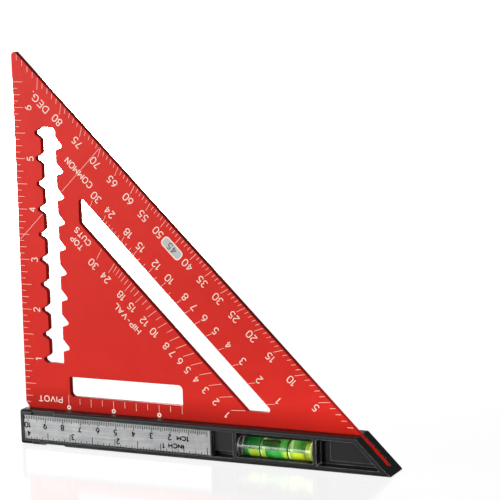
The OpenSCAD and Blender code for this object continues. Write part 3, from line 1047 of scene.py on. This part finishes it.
@dataclass
class BladeLegends:
    """The scales and words of the blade, placed from its sloping edge and the pivot."""

    edge: float
    face_y: float
    degrees: RayScale = RayScale(0.5, 7.0, 3.5, 11.2, 1.2, 3.6)
    common: RayScale = RayScale(36.7, 32.5, 34.8, 28.7, 0.6, 3.6)
    hip_valley: RayScale = RayScale(52.3, 60.4, 57.5, 64.9, 0.6, 3.5)
    common_run: float = 12.0
    hip_run: float = 16.97
    figured: tuple[int, ...] = (30, 24, 18, 15, 12, 10, 8, 7, 6, 5, 4, 3, 2, 1)

    def degree_legend(self) -> Legend:
        """Degrees along the sloping edge."""
        legend = Legend("degree_scale")
        for degree in range(1, 90):
            legend.ticks.append(self.degrees.tick(self.edge, math.radians(degree), degree % 5 == 0))
            if degree % 5 == 0 and degree <= 80 and degree != 45:
                legend.words.append(self.degrees.figure(self.edge, math.radians(degree), str(degree)))
        legend.words.append(Word("DEG.", 15.1, 154.8, SLOPE_TURN, 3.4, 12.2))
        return legend

    def pitch_legend(self, name: str, scale: RayScale, run: float, words: Sequence[Word]) -> Legend:
        """Roof pitches: rises over one run, with figures at those that carpenters use."""
        legend = Legend(name)
        rises = [n for n in range(1, 31) if n in self.figured or n < 24]
        for rise in rises:
            angle = math.atan(rise / run)
            legend.ticks.append(scale.tick(self.edge, angle, rise in self.figured))
            if rise in self.figured:
                legend.words.append(scale.figure(self.edge, angle, str(rise)))
        legend.words.extend(words)
        return legend

    def common_legend(self) -> Legend:
        """Common rafter pitches and the long guide line that its title sits in."""
        words = [Word("COMMON", 35.75, 120.45, SLOPE_TURN, 3.1, 18.6)]
        legend = self.pitch_legend("common_scale", self.common, self.common_run, words)
        height_at_zero = 85.0
        for low, high in ((1.1, 14.2), (26.0, 34.3), (36.9, 47.6)):
            middle = (low + high) / 2
            legend.ticks.append(Tick(middle, middle + height_at_zero, 45.0, (high - low) * math.sqrt(2)))
        return legend

    def hip_legend(self) -> Legend:
        """Hip and valley rafter pitches and their titles."""
        words = [Word("HIP-VAL", 59.85, 48.9, SLOPE_TURN, 2.8, 18.4),
                 Word("TOP", 33.2, 85.5, SLOPE_TURN, 2.7, 7.7),
                 Word("CUTS", 36.6, 88.8, SLOPE_TURN, 2.7, 10.7)]
        return self.pitch_legend("hip_valley_scale", self.hip_valley, self.hip_run, words)

    def upright_legend(self) -> Legend:
        """Inches and eighths up the upright edge."""
        legend = Legend("upright_scale")
        shift, edge_gap, figures_x = -0.3, 0.4, 8.6
        for eighth in range(1, 53):
            z = eighth * INCH / 8 + shift
            end = size_at(eighth, {8: 5.6, 4: 6.2, 2: 4.3, 1: 2.9})
            legend.ticks.append(Tick((edge_gap + end) / 2, z, 0.0, end - edge_gap))
            if eighth % 8 == 0:
                legend.words.append(Word(str(eighth // 8), figures_x, z, 90.0, 3.4))
        return legend

    def pivot_legend(self) -> Legend:
        """The marking holes above the fence and the pivot's name."""
        legend = Legend("pivot_scale")
        legend.words.append(Word("PIVOT", 14.5, 5.05, 180.0, 2.8, 13.4))
        first, last, shift, ring_z = 4, 14, 0.4, 1.4
        for quarter in range(first, last + 1):
            x = quarter * INCH / 4 - shift
            high = 7.8 if quarter in (first, last) else 6.4
            low = 2.8 if quarter == last else size_at(quarter, {4: 2.5, 2: 2.4, 1: 3.4})
            legend.ticks.append(Tick(x, (low + high) / 2, 90.0, high - low))
            if quarter % 4 == 0:
                legend.rings.append(Ring(x, ring_z))
        return legend


@dataclass
class Lozenge:
    """The framed 45 of the degree scale: a cream border round a grey field."""

    x: float = 85.65
    z: float = 85.0
    length: float = 13.0
    width: float = 5.4
    corner: float = 2.0
    border: float = 0.55

    def plate(self, name: str, inset: float, low: float, high: float, face_y: float) -> Mesh:
        """A rounded plate between two heights above the face, in millimetres."""
        half_l, half_w, r = self.length / 2 - inset, self.width / 2 - inset, self.corner - inset
        outline = []
        steps = 8
        for quarter, (sx, sy) in enumerate(((1, 1), (-1, 1), (-1, -1), (1, -1))):
            for step in range(steps + 1):
                angle = math.radians(90 * (quarter + step / steps))
                outline.append((sx * (half_l - r) + r * math.cos(angle),
                                sy * (half_w - r) + r * math.sin(angle)))
        work = bmesh.new()
        bottom = work.faces.new([work.verts.new((x * MM, y * MM, low * MM)) for x, y in outline])
        raised = bmesh.ops.extrude_face_region(work, geom=[bottom])["geom"]
        lift = [v for v in raised if isinstance(v, bmesh.types.BMVert)]
        bmesh.ops.translate(work, verts=lift, vec=(0, 0, (high - low) * MM))
        mesh = finished(work, name)
        mesh.transform(Matrix.Translation((self.x * MM, face_y * MM, self.z * MM)) @ face_turn(SLOPE_TURN))
        return mesh

    def build(self, printer: Printer, finishes: Finishes, face_y: float) -> None:
        """Prints the border, the field and the figures on each other."""
        step = printer.thickness
        for name, inset, low, ink in (("lozenge_border", 0.0, 0.0, finishes.cream),
                                      ("lozenge_field", self.border, step, finishes.grey)):
            piece = add_object(name, self.plate(name, inset, low, low + step, face_y))
            dress(piece, ink)
            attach(piece, SQUARE)
        figures = Legend("lozenge_figures", words=[Word("45", self.x, self.z, SLOPE_TURN, 3.3)])
        printer.print(figures, face_y - 2 * step, finishes.plum)


@dataclass
class Blade:
    """The red plate with its prints."""

    edge: SoftEdge = SoftEdge(0.4)

    def build(self, printer: Printer, finishes: Finishes) -> None:
        """Makes the plate and prints it."""
        plate = softened("blade", "blade_plate", self.edge)
        dress(plate, finishes.red)
        low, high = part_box("blade")
        legends = BladeLegends(edge=(high.x + low.z) / MM, face_y=low.y / MM)
        for legend in (legends.degree_legend(), legends.common_legend(), legends.hip_legend(),
                       legends.upright_legend(), legends.pivot_legend()):
            printer.print(legend, legends.face_y, finishes.cream)
        Lozenge().build(printer, finishes, legends.face_y)
        log.info("blade built")


# ---------------------------------------------------------------- the fence and what it carries


@dataclass
class Rule:
    """The steel rule: a scale of centimetres above and one of inches below, both upside down.

    zero_gap is from the scales' start to the plate's right end. top_gap and base_gap are from
    the plate's edges to its ticks, top_figures and base_figures to the middle of its figures.
    """

    edge: SoftEdge = SoftEdge(0.2, 2)
    zero_gap: float = 1.7
    top_gap: float = 0.15
    base_gap: float = 0.1
    top_figures: float = 5.0
    base_figures: float = 2.9
    figure_height: float = 2.6
    turn: float = 180.0

    def legends(self) -> Legend:
        """Both scales and their titles."""
        low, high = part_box("ruler_plate")
        left, right, base, top = low.x / MM, high.x / MM, low.z / MM, high.z / MM
        zero = right - self.zero_gap
        legend = Legend("rule_scales", line_mm=0.36, pen=Pen.RULE)
        for mark in range(int(zero - left) + 1):
            depth = size_at(mark, {10: 3.1, 5: 2.6, 1: 1.9})
            legend.ticks.append(Tick(zero - mark, top - self.top_gap - depth / 2, 90.0, depth - self.top_gap))
            if mark and mark % 10 == 0:
                legend.words.append(Word(str(mark // 10), zero - mark - 0.3, top - self.top_figures,
                                         self.turn, self.figure_height))
        for mark in range(int((zero - left) * 16 / INCH) + 1):
            depth = size_at(mark, {8: 3.7, 2: 1.2, 1: 0.5})
            x = zero - mark * INCH / 16
            legend.ticks.append(Tick(x, base + self.base_gap + depth / 2, 90.0, depth))
            if mark and mark % 16 == 0:
                legend.words.append(Word(str(mark // 16), x + 1.8, base + self.base_figures, self.turn,
                                         self.figure_height))
        legend.words.append(Word("CM", zero - 13.9, top - self.top_figures, self.turn, 1.9, 4.6))
        legend.words.append(Word("INCH", zero - 17.0, base + 3.2, self.turn, 2.0, 7.8))
        return legend

    def build(self, printer: Printer, finishes: Finishes) -> None:
        """Makes the plate, its print and the tape behind it."""
        plate = softened("ruler_plate", "rule_plate", self.edge)
        dress(plate, finishes.steel)
        printer.print(self.legends(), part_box("ruler_plate")[0].y / MM, finishes.black_ink)
        dress(frame["nodes"]["ruler_tape"], finishes.tape)
        log.info("rule built")


@dataclass
class Fence:
    """The black fence with its end cap and the four screws at its back."""

    body_edge: SoftEdge = SoftEdge(0.25)
    cap_edge: SoftEdge = SoftEdge(0.25)
    screw_edge: SoftEdge = SoftEdge(0.1)
    screw_count: int = 4

    def build(self, finishes: Finishes) -> None:
        """Makes the fence, the cap and the screws."""
        dress(softened("base", "fence_body", self.body_edge), finishes.fence)
        dress(softened("end_cap", "fence_cap", self.cap_edge), finishes.cap)
        for number in range(1, self.screw_count + 1):
            screw = softened(f"blade_screw_{number}", f"fence_screw_{number}", self.screw_edge)
            dress(screw, finishes.zinc)
        log.info("fence built")


@dataclass
class Vial:
    """The spirit vial: tube, plug, liquid, bubble and the two level rings.

    bore_share and end_share say how far from the axis, in tube radii, the bore's wall and end
    reach. end_place is where the end lies, in tube lengths from the middle, and facing how
    squarely a face has to look along X to be an end.
    """

    tube_edge: SoftEdge = SoftEdge(0.3, 3)
    bore_share: float = 0.85
    end_share: float = 0.2
    end_place: float = -0.3
    facing: float = 0.5

    def wet_bore(self, tube: Object, wetted: Material) -> None:
        """Gives the faces that the spirit touches, the bore's wall and its end, their own finish."""
        low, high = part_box("vial_tube")
        axis, radius, length = (low + high) / 2, (high.z - low.z) / 2, high.x - low.x
        tube.data.materials.append(wetted)
        for face in tube.data.polygons:
            off = face.center - axis
            out = math.hypot(off.y, off.z) / radius
            in_wall = out < self.bore_share and abs(face.normal.x) < self.facing
            in_end = out < self.end_share and off.x < self.end_place * length and face.normal.x > self.facing
            if in_wall or in_end:
                face.material_index = 1

    def build(self, finishes: Finishes) -> None:
        """Dresses the vial's pieces."""
        tube = softened("vial_tube", "level_tube", self.tube_edge)
        dress(tube, finishes.clear)
        self.wet_bore(tube, finishes.wetted)
        dress(softened("vial_plug", "level_plug", self.tube_edge), finishes.plug)
        for node, finish, slot in (("vial_liquid", finishes.spirit, Slot.SPIRIT),
                                   ("vial_bubble", finishes.bubble, Slot.BUBBLE),
                                   ("level_ring_left", finishes.ring, Slot.RING),
                                   ("level_ring_right", finishes.ring, Slot.RING)):
            dress(frame["nodes"][node], finish)
        log.info("vial built")


# ---------------------------------------------------------------- studio


@dataclass
class Studio:
    """Pale floor, soft lights and the camera. Lengths here are metres.

    backdrop and floor_glow are how bright the room and the floor look to the camera. floor_seen
    is the floor's colour for the camera, and floor_shade for all else. side_span and top_span
    are where the room's light fades, to the right and upwards, and top_dim is what is left.
    """

    floor_half: float = 3.0
    floor_drop: float = 0.0001
    camera_at: tuple[float, float, float] = (0.544480, -0.903020, 0.248436)
    yaw_deg: float = 24.79527
    pitch_deg: float = -9.27084
    roll_deg: float = 1.51665
    lens_mm: float = 152.49
    sensor_mm: float = 36.0
    ambient_dark: float = 0.14
    ambient_bright: float = 0.62
    side_span: tuple[float, float] = (-0.55, 0.15)
    top_span: tuple[float, float] = (0.15, 0.7)
    top_dim: float = 0.35
    backdrop: float = 1.05
    floor_glow: float = 0.86
    floor_shade: RGB = (0.4, 0.4, 0.4)
    floor_seen: RGB = (0.06, 0.06, 0.06)

    def build(self) -> None:
        """Builds everything round the tool."""
        self.build_world()
        self.build_floor()
        self.build_lights()
        self.build_camera()

    def build_world(self) -> None:
        """White behind the tool. What lights it is brighter at the left and dim above and right."""
        world = bpy.data.worlds.new("studio")
        world.use_nodes = True
        graph = Graph(world.node_tree)
        sky = graph.add("ShaderNodeTexCoord").outputs["Generated"]
        way = graph.add("ShaderNodeSeparateXYZ", Vector=sky)
        side = graph.remap(way.outputs["X"], self.side_span, (self.ambient_bright, self.ambient_dark))
        above = graph.remap(way.outputs["Z"], self.top_span, (1.0, self.top_dim))
        seen = graph.add("ShaderNodeLightPath").outputs["Is Camera Ray"]
        behind = graph.add("ShaderNodeBackground", Color=WHITE, Strength=self.backdrop)
        lit = graph.add("ShaderNodeBackground", Color=WHITE, Strength=graph.maths("MULTIPLY", side, above))
        both = graph.add("ShaderNodeMixShader", _0=seen, _1=lit.outputs[0], _2=behind.outputs[0])
        graph.add("ShaderNodeOutputWorld", Surface=both.outputs[0])
        bpy.context.scene.world = world
        bpy.context.scene.view_settings.view_transform = "Standard"

    def build_floor(self) -> None:
        """A white sheet that mirrors the tool faintly."""
        level = first_bounds[0].z - self.floor_drop
        half = self.floor_half
        mesh = bpy.data.meshes.new("studio_floor")
        corners = [(x, y, level) for x, y in ((-half, -half), (half, -half), (half, half), (-half, half))]
        mesh.from_pydata(corners, [], [(0, 1, 2, 3)])
        floor = add_object("studio_floor", mesh)
        material, graph, shader = shader_for("white_sheet", {"Roughness": 0.12, "Specular IOR Level": 0.75,
                                                             "Emission Color": WHITE})
        seen = graph.add("ShaderNodeLightPath").outputs["Is Camera Ray"]
        graph.feed_all(shader, {"Base Color": graph.mix(seen, self.floor_shade, self.floor_seen),
                                "Emission Strength": graph.remap(seen, UNIT, (0.0, self.floor_glow))})
        dress(floor, material)

    @staticmethod
    def add_light(name: str, place: tuple[float, float, float], aim: Vector, size: tuple[float, float],
                  watts: float, spread: float = 180.0) -> None:
        """Adds a soft rectangular light that looks at a point."""
        data = bpy.data.lights.new(name, "AREA")
        data.shape = "RECTANGLE"
        data.size, data.size_y = size
        data.energy = watts
        data.spread = math.radians(spread)
        lamp = add_object(name, data)
        lamp.location = place
        lamp.rotation_euler = (aim - Vector(place)).to_track_quat("-Z", "Y").to_euler()

    def build_lights(self) -> None:
        """A key light low at the front left, one behind, and small ones for the vial, rims and end."""
        middle = (first_bounds[0] + first_bounds[1]) / 2
        self.add_light("key_light", (-2.2, -1.85, 0.6), middle, (1.4, 1.2), 96.0)
        self.add_light("vial_light", (-0.54, -1.5, 0.3), Vector((0.14, 0.0, -0.01)), (0.24, 0.55), 3.1)
        self.add_light("back_light", (-1.5, 2.0, 0.12), middle, (1.2, 0.24), 30.0)
        self.add_light("rim_light", (-0.5, -0.2, 1.3), middle, (1.4, 0.08), 1.5)
        self.add_light("end_light", (0.4, -0.1, 0.03), Vector((0.19, 0.0, -0.01)), (0.05, 0.05), 0.016, 24.0)

    def build_camera(self) -> None:
        """A long lens, a little above the tool and to its right."""
        data = bpy.data.cameras.new("camera")
        data.lens, data.sensor_width = self.lens_mm, self.sensor_mm
        data.clip_start, data.clip_end = 0.05, 20.0
        camera = add_object("camera", data)
        turns = ((self.yaw_deg, "Z"), (self.pitch_deg, "X"), (self.roll_deg, "Y"), (90.0, "X"))
        matrix = Matrix.Translation(self.camera_at)
        for angle, axis in turns:
            matrix = matrix @ Matrix.Rotation(math.radians(angle), 4, axis)
        camera.matrix_world = matrix
        bpy.context.scene.camera = camera


def main() -> None:
    """Builds the studio and the tool."""
    logging.basicConfig(level=logging.INFO, format="%(name)s: %(message)s")
    Studio().build()
    Effects.build()
    finishes = Finishes()
    printer = Printer()
    Blade().build(printer, finishes)
    Rule().build(printer, finishes)
    Fence().build(finishes)
    Vial().build(finishes)


if __name__ == "__main__":
    main()
